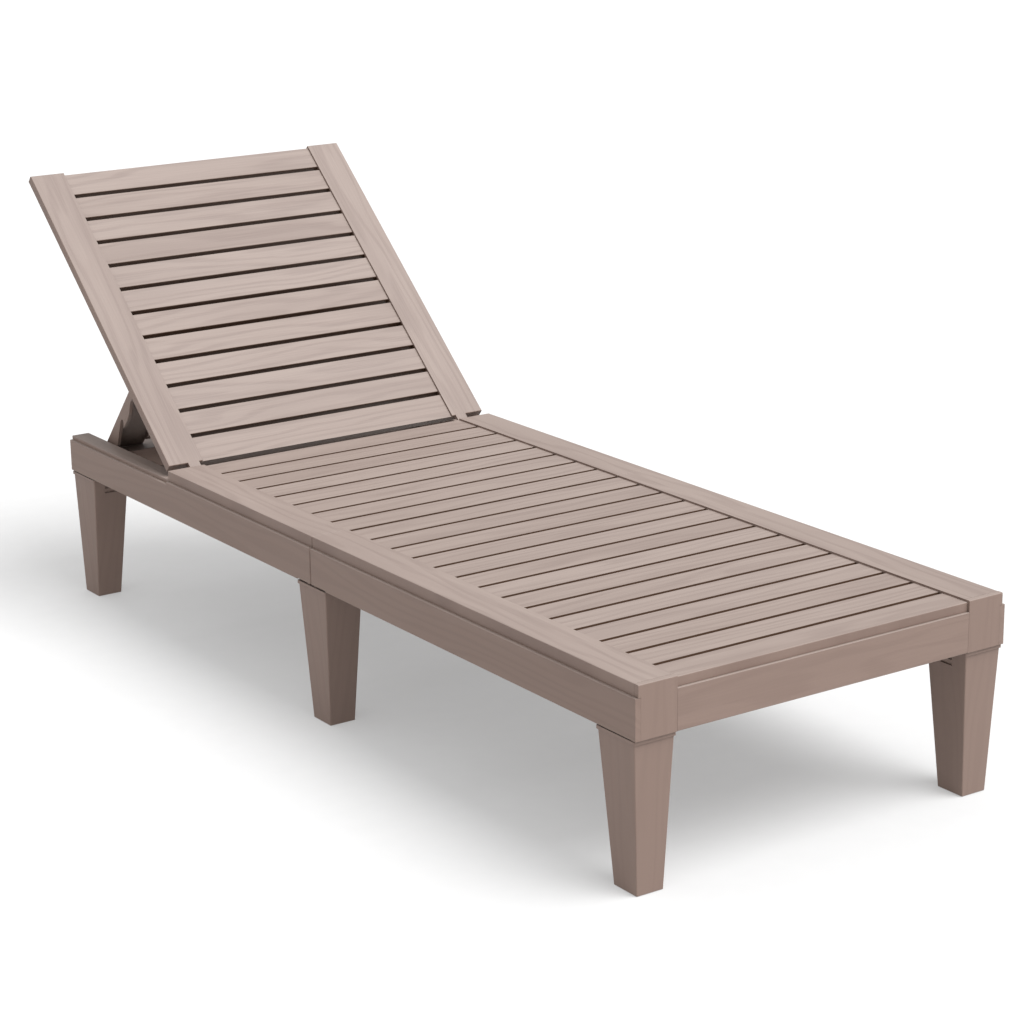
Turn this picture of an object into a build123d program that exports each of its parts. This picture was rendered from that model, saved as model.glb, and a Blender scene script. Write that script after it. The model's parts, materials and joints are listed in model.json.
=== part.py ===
from build123d import *
import os
from math import cos, radians, sin

# Reclining sun lounger in moulded resin: a slatted base in two bolted halves on six
# plug-in legs, a slatted backrest on a hinge line, and a folding prop behind it.
# X runs across the width, +Y towards the head, +Z up. The origin is on the floor,
# under the middle of the lounger as it stands with its backrest raised.

os.makedirs("parts", exist_ok=True)

# ---------------------------------------------------------------- driving dimensions
WIDTH = 668.0  # over the side rails
BASE_LENGTH = 1696.0  # foot end face to head end of the side rails
SEAT_LENGTH = 1323.0  # foot end face to the hinge end of the seat deck
DECK_TOP = 309.0  # top of the deck stiles above the floor
RAIL_BOTTOM = 230.0  # underside of the side rails
SLATS_FOOT = 14  # slats in the foot half of the seat
SLATS_HEAD = 8  # slats in the head half of the seat
STILE = 65.0  # width of the long flat border of the deck
BAND = 17.0  # depth of the deck boards' visible edge
RAIL_PROUD = 5.0  # side rails stand out from the deck band
SLOT = 8.0  # gap between two slats
SLAT_DROP = 3.0  # slats lie below the stiles
SKIN = 3.5  # top skin over a hollow
RIB = 3.0  # walls of a slat beside its slots
SLOT_DRAFT = 4.0  # taper of the slots, degrees each side
SLOT_MOUTH = 0.6  # chamfer at the top of a slot
WALL = 4.0  # moulded wall
ROUND = 1.5  # softened long edges
EDGE = 0.8  # chamfered short edges
FIT = 0.4  # gap between neighbouring mouldings
SEAM_FIT = 0.8  # gap of each half at the seam

FASCIA = 9.0  # thickness of the foot end board and its corner caps
NOSE_INSET = 4.0  # slat field set back from the foot end face

BACK_WIDTH = 642.0
BACK_LENGTH = 655.5
BACK_SLATS = 12
BACK_START = 9.8  # hinge axis to the lower edge of the backrest
BACK_ABOVE = 8.0  # hinge axis to the front face
BACK_BELOW = 7.0  # hinge axis to the rear face
BACK_ANGLE = 41.5  # backrest above the horizontal as the lounger stands
HINGE_GAP = 8.5  # deck end to hinge axis
HINGE_DROP = 8.0  # deck top to hinge axis

HEAD_RAIL_TOP = 293.3  # side rails beyond the seat, under the lowered backrest
HEAD_RAIL_WIDTH = 33.0
HEAD_BAND = 7.0  # visible band above the proud part of the head rails

LEG_TOP = (67.0, 82.0)  # leg under its flange, across and along the lounger
LEG_FOOT = (45.5, 52.0)  # leg at the floor
LEG_TOP_INSET = (2.0, 5.0)  # outer faces from the side and from the end of the base
LEG_FOOT_INSET = 12.5  # outer face at the floor, from the side of the base
LEG_FOOT_FROM_FOOT = 13.5  # outer face at the floor, from the foot end of the base
LEG_FOOT_FROM_HEAD = 5.0  # and from its head end
LEG_FLANGE = 5.0
LEG_FLANGE_PROUD = 1.8
LEG_GAP = 1.5  # shadow gap between a rail and a leg's flange
SEAM_NOTCH = 2.0  # rails are cut back this much over the middle legs
GLIDE_DROP = 1.0  # glides stand out under the legs

PLATFORM_TOP = 271.0  # board that the prop's feet stand on
PLATFORM_DEPTH = 88.0
PROP_ANGLE = 48.56  # prop below the horizontal as the lounger stands
PROP_PIVOT_ALONG = 207.1  # hinge axis to prop pivot, along the backrest
PROP_PIVOT_BELOW = 20.5  # hinge axis to prop pivot, square to the backrest
TOE_CLEARANCE = 0.6  # level foot of the prop above the platform
PROP_BACK = 12.0  # pivot to the rear face of the prop
PROP_FRONT = 18.0  # pivot to the front edge of the side flange
ARM_OUTER = 290.0  # outer face of a prop arm, from the middle
ARM_FLANGE = 6.0
ARM_WEB = 76.0
PIN_RADIUS = 4.0
HINGE_PIN_RADIUS = 3.0
RUN = 0.06  # running clearance of a pin, radial

# ------------------------------------------------------------------ derived positions
PITCH = SEAT_LENGTH / (SLATS_FOOT + SLATS_HEAD)
DECK_WIDTH = WIDTH - 2 * RAIL_PROUD
FIELD = DECK_WIDTH - 2 * STILE
DECK_BOTTOM = DECK_TOP - BAND
SLAT_TOP = DECK_TOP - SLAT_DROP
HALF = WIDTH / 2
SLOPE = radians(BACK_ANGLE)
REST_LENGTH = (
    SEAT_LENGTH
    + HINGE_GAP
    + (BACK_START + BACK_LENGTH) * cos(SLOPE)
    + BACK_BELOW * sin(SLOPE)
)
FOOT_Y = -REST_LENGTH / 2
SEAM_Y = FOOT_Y + SLATS_FOOT * PITCH
SEAT_END_Y = FOOT_Y + SEAT_LENGTH
HEAD_Y = FOOT_Y + BASE_LENGTH
HINGE_Y = SEAT_END_Y + HINGE_GAP
HINGE_Z = DECK_TOP - HINGE_DROP
LEG_TOP_Z = RAIL_BOTTOM - LEG_GAP - LEG_FLANGE
INNER_HEAD = HALF - RAIL_PROUD - HEAD_RAIL_WIDTH
SEAT_RAIL_INNER = 296.0
BEAM_BOTTOM = RAIL_BOTTOM + 12.0
PIVOT_Y = HINGE_Y + PROP_PIVOT_ALONG * cos(SLOPE) + PROP_PIVOT_BELOW * sin(SLOPE)
PIVOT_Z = HINGE_Z + PROP_PIVOT_ALONG * sin(SLOPE) - PROP_PIVOT_BELOW * cos(SLOPE)

# The backrest is drawn on its own plane: local X across, local Y up the backrest from
# the hinge axis, local Z out of its front face.
BACK_PLANE = Plane(
    origin=(0, HINGE_Y, HINGE_Z), x_dir=(1, 0, 0), z_dir=(0, -sin(SLOPE), cos(SLOPE))
)
SIDES = (("left", -1), ("right", 1))


def side_plane(x):
    """Plane across X at x, local X along +Y and local Y along +Z."""
    return Plane(origin=(x, 0, 0), x_dir=(0, 1, 0), z_dir=(1, 0, 0))


def box(x0, x1, y0, y1, z0, z1, mode=Mode.ADD):
    """Block between two corners, joined to or cut from the part being built."""
    with BuildSketch(Plane.XY.offset(min(z0, z1))) as footprint:
        with Locations(((x0 + x1) / 2, (y0 + y1) / 2)):
            Rectangle(abs(x1 - x0), abs(y1 - y0))
    extrude(footprint.sketch, amount=abs(z1 - z0), mode=mode)


def rod(x0, x1, y, z, radius, mode=Mode.ADD):
    """Round bar along X between x0 and x1."""
    with BuildSketch(side_plane(min(x0, x1))) as section:
        with Locations((y, z)):
            Circle(radius)
    extrude(section.sketch, amount=abs(x1 - x0), mode=mode)


def slots(plane, width, depth, centre, pitch, count):
    """Row of tapered slots cut down from a plane that faces into the board."""
    with BuildSketch(plane) as rows:
        with Locations((0, centre)):
            with GridLocations(0, pitch, 1, count):
                Rectangle(width, SLOT)
    extrude(rows.sketch, amount=depth, taper=SLOT_DRAFT, mode=Mode.SUBTRACT)
    with BuildSketch(plane) as mouths:
        with Locations((0, centre)):
            with GridLocations(0, pitch, 1, count):
                Rectangle(width, SLOT + 2 * SLOT_MOUTH)
    extrude(mouths.sketch, amount=SLOT_MOUTH, taper=45.0, mode=Mode.SUBTRACT)


def pockets(plane, width, depth, centre, pitch, count):
    """Hollows under the slats, three across, cut from a plane on the board's underside."""
    with BuildSketch(plane) as hollows:
        with Locations((0, centre)):
            with GridLocations(width / 3, pitch, 3, count):
                Rectangle(width / 3 - WALL, pitch - SLOT - 2 * RIB)
    extrude(hollows.sketch, amount=depth, mode=Mode.SUBTRACT)


def save(builder, name):
    builder.part.label = name
    export_step(builder.part, f"parts/{name}.step")


# ------------------------------------------------------------------------- fasteners
DECK_SCREW_X = 312.0
DECK_SCREW_RADIUS = 2.0
DECK_SCREWS_FOOT = [FOOT_Y + d for d in (110.0, 300.0, 510.0, 700.0)]
DECK_SCREWS_HEAD = [SEAM_Y + d for d in (110.0, 270.0, 430.0)]
SCREW_HEAD_RADIUS = 4.5
SCREW_HEAD = 2.5
BOSS_RADIUS = 6.0

SEAM_BOLT_X = (-200.0, -70.0, 70.0, 200.0)
SEAM_BOLT_Z = 264.0
SEAM_BOLT_RADIUS = 3.0
BEAM_DEPTH = 30.0
BEAM_TOP = DECK_BOTTOM - FIT


# ----------------------------------------------------------------------- seat decks
LUG = (263.5, 284.5)  # backrest lug between two deck ears, from the middle
EARS = ((254.8, 262.8), (285.2, 293.2))
EAR_RADIUS = 5.0


def hinge_ears(side):
    """Ears on the deck's end face that hold the hinge pin on both sides of a lug."""
    for x0, x1 in EARS:
        rod(side * x0, side * x1, HINGE_Y, HINGE_Z, EAR_RADIUS)
        box(side * x0, side * x1, SEAT_END_Y - WALL / 2, HINGE_Y, HINGE_Z - EAR_RADIUS,
            HINGE_Z + EAR_RADIUS)
        rod(side * x0, side * x1, HINGE_Y, HINGE_Z, HINGE_PIN_RADIUS, mode=Mode.SUBTRACT)


def seat_deck(name, start, end, first_slat, slats, screws, at_head):
    """Slatted top board of one half: stiles and slats in one hollow moulding."""
    centre = first_slat + slats * PITCH / 2
    with BuildPart() as deck:
        box(-DECK_WIDTH / 2, DECK_WIDTH / 2, start, end, DECK_BOTTOM, DECK_TOP)
        ends = deck.edges().filter_by(Axis.X).group_by(Axis.Z)[-1].sort_by(Axis.Y)
        chamfer(ends if at_head else ends[-1], EDGE)
        fillet(deck.edges().filter_by(Axis.Y).group_by(Axis.Z)[-1], ROUND)
        box(-FIELD / 2, FIELD / 2, start, end, SLAT_TOP, DECK_TOP, mode=Mode.SUBTRACT)
        if at_head:
            box(-FIELD / 2, FIELD / 2, start, SEAM_Y + SLOT / 2, DECK_BOTTOM, DECK_TOP,
                mode=Mode.SUBTRACT)
        else:
            box(-FIELD / 2, FIELD / 2, SEAM_Y - SLOT / 2, end, DECK_BOTTOM, DECK_TOP,
                mode=Mode.SUBTRACT)
            box(-FIELD / 2 + FIT, FIELD / 2 - FIT, FOOT_Y + NOSE_INSET, start + WALL,
                DECK_BOTTOM, SLAT_TOP)
            nose = deck.edges().filter_by(Axis.X).group_by(Axis.Y)[0].sort_by(Axis.Z)[-1]
            fillet(nose, ROUND)
        slots(Plane(origin=(0, 0, SLAT_TOP), x_dir=(-1, 0, 0), z_dir=(0, 0, -1)),
              FIELD, BAND - SLAT_DROP, centre, PITCH, slats - 1)
        pockets(Plane.XY.offset(DECK_BOTTOM), FIELD, BAND - SLAT_DROP - SKIN, centre,
                PITCH, slats)
        for side in (-1, 1):
            box(side * (FIELD / 2 + WALL), side * (DECK_WIDTH / 2 - WALL), start + WALL,
                end - WALL - RIB, DECK_BOTTOM, DECK_TOP - SKIN, mode=Mode.SUBTRACT)
        spots = [(side * DECK_SCREW_X, y) for y in screws for side in (-1, 1)]
        with BuildSketch(Plane.XY.offset(DECK_BOTTOM)) as bosses:
            with Locations(spots):
                Circle(BOSS_RADIUS)
        extrude(bosses.sketch, amount=BAND - SKIN)
        with BuildSketch(Plane.XY.offset(DECK_BOTTOM)) as holes:
            with Locations(spots):
                Circle(DECK_SCREW_RADIUS)
        extrude(holes.sketch, amount=10.0, mode=Mode.SUBTRACT)
        if at_head:
            for _, side in SIDES:
                hinge_ears(side)
    save(deck, name)


seat_deck("seat_deck_foot", FOOT_Y + FASCIA + FIT, SEAM_Y - SEAM_FIT, FOOT_Y,
          SLATS_FOOT, DECK_SCREWS_FOOT, at_head=False)
seat_deck("seat_deck_head", SEAM_Y + SEAM_FIT, SEAT_END_Y, SEAM_Y,
          SLATS_HEAD, DECK_SCREWS_HEAD, at_head=True)


# ------------------------------------------------------------- legs: where they stand
LEG_HALF = (LEG_TOP[0] / 2, LEG_TOP[1] / 2)
LEG_X = HALF - LEG_TOP_INSET[0] - LEG_HALF[0]
LEG_FOOT_X = HALF - LEG_FOOT_INSET - LEG_FOOT[0] / 2
# row: (y of the middle at the top, y at the floor, direction towards the nearer end)
LEG_ROWS = {
    "foot": (FOOT_Y + LEG_TOP_INSET[1] + LEG_HALF[1],
             FOOT_Y + LEG_FOOT_FROM_FOOT + LEG_FOOT[1] / 2, -1),
    "middle": (SEAM_Y, SEAM_Y, 0),
    "head": (HEAD_Y - LEG_TOP_INSET[1] - LEG_HALF[1],
             HEAD_Y - LEG_FOOT_FROM_HEAD - LEG_FOOT[1] / 2, 1),
}
SOCKET_INNER = 54.8
SOCKET_OUTER = 63.4
SOCKET_TOP = {"foot": 270.0, "middle": 270.0, "head": 255.0}
TENON = 54.0
TENON_DROP = 4.0  # top of a leg's plug below the top of its socket
SEAM_NOTCH_HALF = 44.0


def leg_socket(side, row, y_from, y_to):
    """Square tube that a leg plugs into, kept between two Y planes."""
    outer, inner = SOCKET_OUTER / 2, SOCKET_INNER / 2
    x = side * LEG_X
    y = LEG_ROWS[row][0]
    top = SOCKET_TOP[row]
    box(x - outer, x + outer, max(y - outer, y_from), min(y + outer, y_to),
        RAIL_BOTTOM, top)
    box(x - inner, x + inner, max(y - inner, y_from), min(y + inner, y_to),
        RAIL_BOTTOM, top, mode=Mode.SUBTRACT)


def rail_shell(side, profile, y0, y1):
    """Side rail wall: a section given as (distance from the middle, height), along Y."""
    with BuildSketch(Plane.XZ.offset(-y0)) as section:
        with BuildLine():
            Polyline(*[(side * x, z) for x, z in profile], close=True)
        make_face()
    extrude(section.sketch, amount=-(y1 - y0))


RAIL_EDGE = HALF - RAIL_PROUD
RAIL_FOOT = HALF - 16.0  # inner edge of the rail's bottom lip
LEDGE = DECK_BOTTOM - 1.5  # top of the proud part of the rail under the deck
HEAD_STEP = HEAD_RAIL_TOP - HEAD_BAND
SEAT_PROFILE = (
    (RAIL_FOOT, RAIL_BOTTOM),
    (HALF - EDGE, RAIL_BOTTOM),
    (HALF, RAIL_BOTTOM + EDGE),
    (HALF, LEDGE - EDGE),
    (HALF - EDGE, LEDGE),
    (RAIL_EDGE, LEDGE),
    (RAIL_EDGE, DECK_BOTTOM),
    (SEAT_RAIL_INNER, DECK_BOTTOM),
    (SEAT_RAIL_INNER, BEAM_BOTTOM),
    (SEAT_RAIL_INNER + WALL, BEAM_BOTTOM),
    (SEAT_RAIL_INNER + WALL, DECK_BOTTOM - WALL),
    (RAIL_EDGE, DECK_BOTTOM - WALL),
    (RAIL_EDGE, RAIL_BOTTOM + WALL),
    (RAIL_FOOT, RAIL_BOTTOM + WALL),
)
HEAD_PROFILE = (
    (RAIL_FOOT, RAIL_BOTTOM),
    (HALF - EDGE, RAIL_BOTTOM),
    (HALF, RAIL_BOTTOM + EDGE),
    (HALF, HEAD_STEP - EDGE),
    (HALF - EDGE, HEAD_STEP),
    (RAIL_EDGE, HEAD_STEP),
    (RAIL_EDGE, HEAD_RAIL_TOP - EDGE),
    (RAIL_EDGE - EDGE, HEAD_RAIL_TOP),
    (INNER_HEAD + EDGE, HEAD_RAIL_TOP),
    (INNER_HEAD, HEAD_RAIL_TOP - EDGE),
    (INNER_HEAD, RAIL_BOTTOM),
    (INNER_HEAD + WALL, RAIL_BOTTOM),
    (INNER_HEAD + WALL, HEAD_RAIL_TOP - WALL),
    (RAIL_EDGE - WALL, HEAD_RAIL_TOP - WALL),
    (RAIL_EDGE - WALL, HEAD_STEP - WALL),
    (RAIL_EDGE, HEAD_STEP - WALL),
    (RAIL_EDGE, RAIL_BOTTOM + WALL),
    (RAIL_FOOT, RAIL_BOTTOM + WALL),
)


def seam_corner(rail, y):
    """Chamfers the rail's outer upright edge at one end."""
    uprights = rail.edges().filter_by(Axis.Z).group_by(Axis.Y)[0 if y < 0 else -1]
    outermost = uprights.sort_by(lambda e: abs(e.center().X))[-1]
    chamfer(outermost, SEAM_CHAMFER)


def deck_screw_holes(side, screws):
    with BuildSketch(Plane.XY.offset(DECK_BOTTOM - WALL)) as holes:
        with Locations([(side * DECK_SCREW_X, y) for y in screws]):
            Circle(DECK_SCREW_RADIUS + 0.2)
    extrude(holes.sketch, amount=WALL, mode=Mode.SUBTRACT)


def seam_notch(side):
    """Rail cut back over the middle leg, which leaves a shadow gap above its flange."""
    box(side * (RAIL_FOOT - 1.0), side * (HALF + 1.0), SEAM_Y - SEAM_NOTCH_HALF,
        SEAM_Y + SEAM_NOTCH_HALF, RAIL_BOTTOM - 1.0, RAIL_BOTTOM + SEAM_NOTCH,
        mode=Mode.SUBTRACT)


SEAM_CHAMFER = 1.2
CORNER = 9.0  # end of the side rail that shows on the foot end face
for name, side in SIDES:
    start, end = FOOT_Y + FASCIA + FIT, SEAM_Y - SEAM_FIT
    with BuildPart() as rail:
        rail_shell(side, SEAT_PROFILE, start, end)
        seam_corner(rail, 1)
        box(side * (HALF - CORNER), side * HALF, FOOT_Y, start, RAIL_BOTTOM, LEDGE)
        deck_screw_holes(side, DECK_SCREWS_FOOT)
        leg_socket(side, "foot", start, end)
        leg_socket(side, "middle", start, end)
        seam_notch(side)
    save(rail, f"side_rail_foot_{name}")

    start = SEAM_Y + SEAM_FIT
    with BuildPart() as rail:
        rail_shell(side, SEAT_PROFILE, start, SEAT_END_Y)
        seam_corner(rail, -1)
        rail_shell(side, HEAD_PROFILE, SEAT_END_Y, HEAD_Y)
        box(side * (RAIL_EDGE - WALL), side * RAIL_EDGE, SEAT_END_Y - 6.0, SEAT_END_Y,
            HEAD_STEP - WALL, DECK_BOTTOM)
        deck_screw_holes(side, DECK_SCREWS_HEAD)
        leg_socket(side, "head", start, HEAD_Y)
        leg_socket(side, "middle", start, HEAD_Y)
        seam_notch(side)
    save(rail, f"side_rail_head_{name}")

# ------------------------------------------------------- foot end board, corner caps
FASCIA_LIP = 20.0
BOARD_HALF = FIELD / 2 - 0.3
CAP_TONGUE = 12.0
cap_outer = HALF - CORNER - FIT / 2
with BuildPart() as board:
    box(-BOARD_HALF, BOARD_HALF, FOOT_Y, FOOT_Y + FASCIA, RAIL_BOTTOM, DECK_BOTTOM - FIT)
    chamfer(board.edges().filter_by(Axis.X).group_by(Axis.Y)[0], EDGE)
    lip_half = LEG_X - SOCKET_OUTER / 2 - FIT
    box(-lip_half, lip_half, FOOT_Y + FASCIA, FOOT_Y + FASCIA_LIP,
        RAIL_BOTTOM, RAIL_BOTTOM + WALL)
    box(-lip_half, lip_half, FOOT_Y + FASCIA, FOOT_Y + FASCIA_LIP,
        DECK_BOTTOM - FIT - WALL, DECK_BOTTOM - FIT)
save(board, "foot_end_board")

for name, side in SIDES:
    with BuildPart() as cap:
        with BuildSketch(Plane.XZ.offset(-FOOT_Y)) as face:
            with BuildLine():
                Polyline((side * FIELD / 2, RAIL_BOTTOM), (side * cap_outer, RAIL_BOTTOM),
                         (side * cap_outer, LEDGE + FIT), (side * RAIL_EDGE, LEDGE + FIT),
                         (side * RAIL_EDGE, DECK_TOP), (side * FIELD / 2, DECK_TOP),
                         close=True)
            make_face()
        extrude(face.sketch, amount=-FASCIA)
        top_front = cap.edges().filter_by(Axis.X).group_by(Axis.Z)[-1].sort_by(Axis.Y)[0]
        fillet(top_front, ROUND)
        box(side * (SEAT_RAIL_INNER + WALL + 2.0), side * (RAIL_EDGE - 6.0),
            FOOT_Y + FASCIA, FOOT_Y + FASCIA + CAP_TONGUE,
            SOCKET_TOP["foot"] + 2.0, DECK_BOTTOM - WALL - 1.0)
    save(cap, f"foot_corner_cap_{name}")


# ------------------------------------------------------------------------ cross beams
def cross_beam(name, y0, y1, half_length, open_side=0):
    """Channel across the base, open below, or open below and towards one Y side."""
    with BuildPart() as beam:
        box(-half_length, half_length, y0, y1, BEAM_BOTTOM, BEAM_TOP)
        cut0 = y0 if open_side < 0 else y0 + WALL
        cut1 = y1 if open_side > 0 else y1 - WALL
        box(-half_length, half_length, cut0, cut1, BEAM_BOTTOM, BEAM_TOP - WALL,
            mode=Mode.SUBTRACT)
        if open_side:
            wall_y = y1 - WALL if open_side < 0 else y0
            for x in SEAM_BOLT_X:
                with BuildSketch(Plane.XZ.offset(-wall_y)):
                    with Locations((x, SEAM_BOLT_Z)):
                        Circle(SEAM_BOLT_RADIUS + 0.2)
                extrude(amount=-WALL, mode=Mode.SUBTRACT)
    save(beam, name)


BEAM_HALF = SEAT_RAIL_INNER - FIT
SEAM_BEAM_HALF = LEG_X - SOCKET_OUTER / 2 - FIT
FOOT_BEAM_Y = (FOOT_Y + SEAM_Y) / 2
cross_beam("cross_beam_foot", FOOT_BEAM_Y - BEAM_DEPTH / 2, FOOT_BEAM_Y + BEAM_DEPTH / 2,
           BEAM_HALF)
cross_beam("cross_beam_seam_foot", SEAM_Y - SEAM_FIT - BEAM_DEPTH, SEAM_Y - SEAM_FIT,
           SEAM_BEAM_HALF, open_side=-1)
cross_beam("cross_beam_seam_head", SEAM_Y + SEAM_FIT, SEAM_Y + SEAM_FIT + BEAM_DEPTH,
           SEAM_BEAM_HALF, open_side=1)
cross_beam("cross_beam_hinge", SEAT_END_Y - 5.0 - BEAM_DEPTH, SEAT_END_Y - 5.0, BEAM_HALF)

# ------------------------------------------------- seam joiners, bolts, nuts, screws
JOINER_LENGTH = 150.0
JOINER_THICK = 3.0
JOINER_X = HALF - RAIL_PROUD - JOINER_THICK - 0.2
JOINER_BOTTOM = SOCKET_TOP["middle"] + 2.0
for name, side in SIDES:
    with BuildPart() as joiner:
        box(side * JOINER_X, side * (JOINER_X + JOINER_THICK),
            SEAM_Y - JOINER_LENGTH / 2, SEAM_Y + JOINER_LENGTH / 2,
            JOINER_BOTTOM, DECK_BOTTOM - WALL - 0.2)
        fillet(joiner.edges().filter_by(Axis.X), 2.0)
    save(joiner, f"seam_joiner_{name}")

BOLT_HEAD_RADIUS = 6.0
BOLT_HEAD = 4.0
NUT_ACROSS = 10.0
NUT_THICK = 5.0
bolt_start = SEAM_Y - SEAM_FIT - WALL
bolt_end = SEAM_Y + SEAM_FIT + WALL + NUT_THICK + 1.5
with BuildPart() as bolts:
    with BuildSketch(Plane.XZ.offset(-(bolt_start - BOLT_HEAD))):
        with Locations([(x, SEAM_BOLT_Z) for x in SEAM_BOLT_X]):
            Circle(BOLT_HEAD_RADIUS)
    extrude(amount=-BOLT_HEAD)
    with BuildSketch(Plane.XZ.offset(-bolt_start)):
        with Locations([(x, SEAM_BOLT_Z) for x in SEAM_BOLT_X]):
            Circle(SEAM_BOLT_RADIUS)
    extrude(amount=-(bolt_end - bolt_start))
save(bolts, "seam_bolts")

with BuildPart() as nuts:
    with BuildSketch(Plane.XZ.offset(-(SEAM_Y + SEAM_FIT + WALL))):
        with Locations([(x, SEAM_BOLT_Z) for x in SEAM_BOLT_X]):
            RegularPolygon(NUT_ACROSS / 2, 6, major_radius=False)
            Circle(SEAM_BOLT_RADIUS, mode=Mode.SUBTRACT)
    extrude(amount=-NUT_THICK)
save(nuts, "seam_nuts")


def deck_screws(name, rows):
    spots = [(side * DECK_SCREW_X, y) for y in rows for side in (-1, 1)]
    with BuildPart() as screws:
        with BuildSketch(Plane.XY.offset(DECK_BOTTOM - WALL - SCREW_HEAD)):
            with Locations(spots):
                Circle(SCREW_HEAD_RADIUS)
        extrude(amount=SCREW_HEAD)
        with BuildSketch(Plane.XY.offset(DECK_BOTTOM - WALL)):
            with Locations(spots):
                Circle(DECK_SCREW_RADIUS)
        extrude(amount=WALL + 9.0)
    save(screws, name)


deck_screws("deck_screws_foot", DECK_SCREWS_FOOT)
deck_screws("deck_screws_head", DECK_SCREWS_HEAD)

# ------------------------------------------------------------- head end of the base
END_RAIL_TOP = PLATFORM_TOP - 12.0
END_RAIL_DEPTH = 20.0
RACK_OUTER = 280.0
RACK_INNER = 258.0
RACK_BOTTOM = PLATFORM_TOP - 15.0
PLATFORM_BOTTOM = RAIL_BOTTOM + 4.0
RACK_START_Y = FOOT_Y + 1508.0
HEAD_BEAM_Y = RACK_START_Y + 18.0
HEAD_BEAM_TOP = RACK_BOTTOM - FIT
HEAD_FIT = INNER_HEAD - FIT
NOTCH_DEPTH = 5.0
# toe positions of the four propped angles, from the foot end face
NOTCHES = (1538.0, 1577.0, 1616.0, 1650.5)

with BuildPart() as head_beam:
    box(-HEAD_FIT, HEAD_FIT, HEAD_BEAM_Y - BEAM_DEPTH / 2, HEAD_BEAM_Y + BEAM_DEPTH / 2,
        RAIL_BOTTOM, HEAD_BEAM_TOP)
    box(-HEAD_FIT, HEAD_FIT, HEAD_BEAM_Y - BEAM_DEPTH / 2 + WALL,
        HEAD_BEAM_Y + BEAM_DEPTH / 2 - WALL, RAIL_BOTTOM, HEAD_BEAM_TOP - WALL,
        mode=Mode.SUBTRACT)
save(head_beam, "cross_beam_head")

with BuildPart() as end_rail:
    box(-SEAM_BEAM_HALF, SEAM_BEAM_HALF, HEAD_Y - END_RAIL_DEPTH, HEAD_Y,
        RAIL_BOTTOM, END_RAIL_TOP)
    box(-SEAM_BEAM_HALF, SEAM_BEAM_HALF, HEAD_Y - END_RAIL_DEPTH + WALL, HEAD_Y - WALL,
        RAIL_BOTTOM, END_RAIL_TOP - WALL, mode=Mode.SUBTRACT)
    box(-HEAD_FIT, HEAD_FIT, HEAD_Y - WALL, HEAD_Y, RAIL_BOTTOM, END_RAIL_TOP)
save(end_rail, "head_end_rail")

platform_half = RACK_INNER - FIT
platform_front = HEAD_Y - PLATFORM_DEPTH
PLATFORM_SCREW_Y = (HEAD_Y - 64.0, HEAD_Y - 28.0)
PLATFORM_SCREW_Z = PLATFORM_TOP - 7.5
with BuildPart() as platform:
    box(-platform_half, platform_half, platform_front, HEAD_Y - 1.0,
        PLATFORM_BOTTOM, PLATFORM_TOP)
    fillet(platform.edges().filter_by(Axis.X).group_by(Axis.Z)[-1], ROUND)
    box(-platform_half + WALL, platform_half - WALL, platform_front + WALL,
        HEAD_Y - 1.0, PLATFORM_BOTTOM, PLATFORM_TOP - WALL, mode=Mode.SUBTRACT)
    box(-platform_half, platform_half, HEAD_Y - END_RAIL_DEPTH - FIT, HEAD_Y,
        PLATFORM_BOTTOM, END_RAIL_TOP, mode=Mode.SUBTRACT)
    box(-platform_half, platform_half, HEAD_Y - 1.0 - WALL, HEAD_Y - 1.0,
        END_RAIL_TOP, PLATFORM_TOP - ROUND)
    for x in (-platform_half / 2, 0, platform_half / 2):
        box(x - WALL / 2, x + WALL / 2, platform_front, HEAD_Y - END_RAIL_DEPTH - FIT,
            PLATFORM_BOTTOM + 8.0, PLATFORM_TOP - WALL)
    for y in PLATFORM_SCREW_Y:
        rod(-platform_half, platform_half, y, PLATFORM_SCREW_Z, DECK_SCREW_RADIUS,
            mode=Mode.SUBTRACT)
save(platform, "head_platform")


def rack(name, side):
    """Notched ledge inside a head rail; the prop's foot drops behind its teeth."""
    end = HEAD_Y - END_RAIL_DEPTH - FIT
    with BuildPart() as ledge:
        box(side * RACK_INNER, side * RACK_OUTER, RACK_START_Y, end,
            RACK_BOTTOM, PLATFORM_TOP)
        box(side * RACK_OUTER, side * HEAD_FIT, RACK_START_Y, end,
            RACK_BOTTOM, RACK_BOTTOM + 3.0)
        for notch in NOTCHES:
            y = FOOT_Y + notch
            with BuildSketch(side_plane(min(side * RACK_INNER, side * RACK_OUTER))):
                with BuildLine():
                    Polyline((y + 4, PLATFORM_TOP), (y + 4, PLATFORM_TOP - NOTCH_DEPTH),
                             (y - 4, PLATFORM_TOP - NOTCH_DEPTH), (y - 14, PLATFORM_TOP),
                             close=True)
                make_face()
            extrude(amount=RACK_OUTER - RACK_INNER, mode=Mode.SUBTRACT)
        for y in PLATFORM_SCREW_Y:
            rod(side * RACK_INNER, side * RACK_OUTER, y, PLATFORM_SCREW_Z,
                DECK_SCREW_RADIUS + 0.2, mode=Mode.SUBTRACT)
            rod(side * (RACK_OUTER - 10.0), side * HEAD_FIT, y, PLATFORM_SCREW_Z,
                SCREW_HEAD_RADIUS + 0.3, mode=Mode.SUBTRACT)
    save(ledge, f"prop_rack_{name}")


for name, side in SIDES:
    rack(name, side)

with BuildPart() as platform_screws:
    for _, side in SIDES:
        for y in PLATFORM_SCREW_Y:
            rod(side * (RACK_OUTER - 10.0), side * (RACK_OUTER - 10.0 + SCREW_HEAD), y,
                PLATFORM_SCREW_Z, SCREW_HEAD_RADIUS)
            rod(side * (platform_half - WALL), side * (RACK_OUTER - 10.0), y,
                PLATFORM_SCREW_Z, DECK_SCREW_RADIUS)
save(platform_screws, "platform_screws")


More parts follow.
